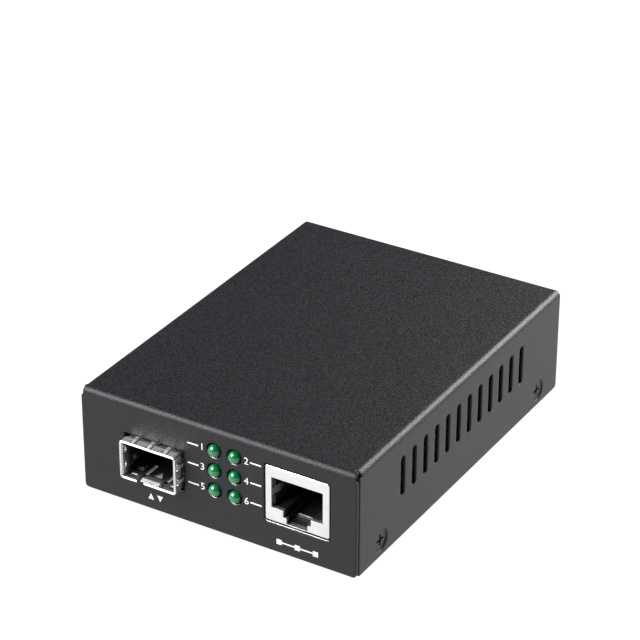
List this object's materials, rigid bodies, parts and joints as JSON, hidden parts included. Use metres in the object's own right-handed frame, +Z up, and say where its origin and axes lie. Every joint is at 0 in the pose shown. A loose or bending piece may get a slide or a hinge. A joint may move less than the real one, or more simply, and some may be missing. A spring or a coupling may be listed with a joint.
{
  "type": "fibre media converter",
  "caption": "Small folded-steel network box that turns a copper network link into an optical one, with a transceiver cage, a shielded jack and status lamps on its front.",
  "frame": {"origin": "bottom centre of the whole object's box, on the surface its feet stand on", "axes": "+X to the right as seen from the front, +Y from the front panel to the back panel, +Z up"},
  "size_m": [0.071, 0.0974, 0.0274],
  "materials": {
    "case_black": "fine-grained black powder coat, satin",
    "screw_black": "black oxide, semi-gloss",
    "zinc_steel": "bright zinc and tin plate",
    "board_green": "glass-fibre board with green solder mask",
    "bright_spring_steel": "bright nickel-plated sheet",
    "black_plastic": "moulded, satin",
    "gold_contact": "gold flash",
    "chip_black": "moulded, matt",
    "ferrite_grey": "fired, matt",
    "capacitor_aluminium": "drawn can, satin",
    "lamp_green": "tinted clear resin, polished",
    "foot_rubber": "matt"
  },
  "bodies": {
    "root": {"top_cover": "case_black", "base_tray": "case_black", "cover_screws": "screw_black", "board_standoffs": "zinc_steel", "board_screws": "zinc_steel", "circuit_board": "board_green", "sfp_cage": "bright_spring_steel", "sfp_emi_collar": "bright_spring_steel", "sfp_connector": "black_plastic", "sfp_connector_contacts": "gold_contact", "rj45_shield": "bright_spring_steel", "rj45_housing": "black_plastic", "rj45_contacts": "gold_contact", "lamp_holder": "black_plastic", "lamp_leads": "zinc_steel", "dc_jack_body": "black_plastic", "dc_jack_pin": "zinc_steel", "dc_jack_spring": "zinc_steel", "converter_chip": "chip_black", "converter_chip_leads": "zinc_steel", "memory_chip": "chip_black", "regulator_chip": "chip_black", "magnetics_module": "chip_black", "crystal_can": "bright_spring_steel", "power_inductor": "ferrite_grey", "small_components": "ferrite_grey", "capacitor_input": "capacitor_aluminium", "capacitor_output": "capacitor_aluminium", "capacitor_port": "capacitor_aluminium", "lamp_1": "lamp_green", "lamp_2": "lamp_green", "lamp_3": "lamp_green", "lamp_4": "lamp_green", "lamp_5": "lamp_green", "lamp_6": "lamp_green", "foot_front_left": "foot_rubber", "foot_front_right": "foot_rubber", "foot_back_left": "foot_rubber", "foot_back_right": "foot_rubber"}
  },
  "joints": []
}
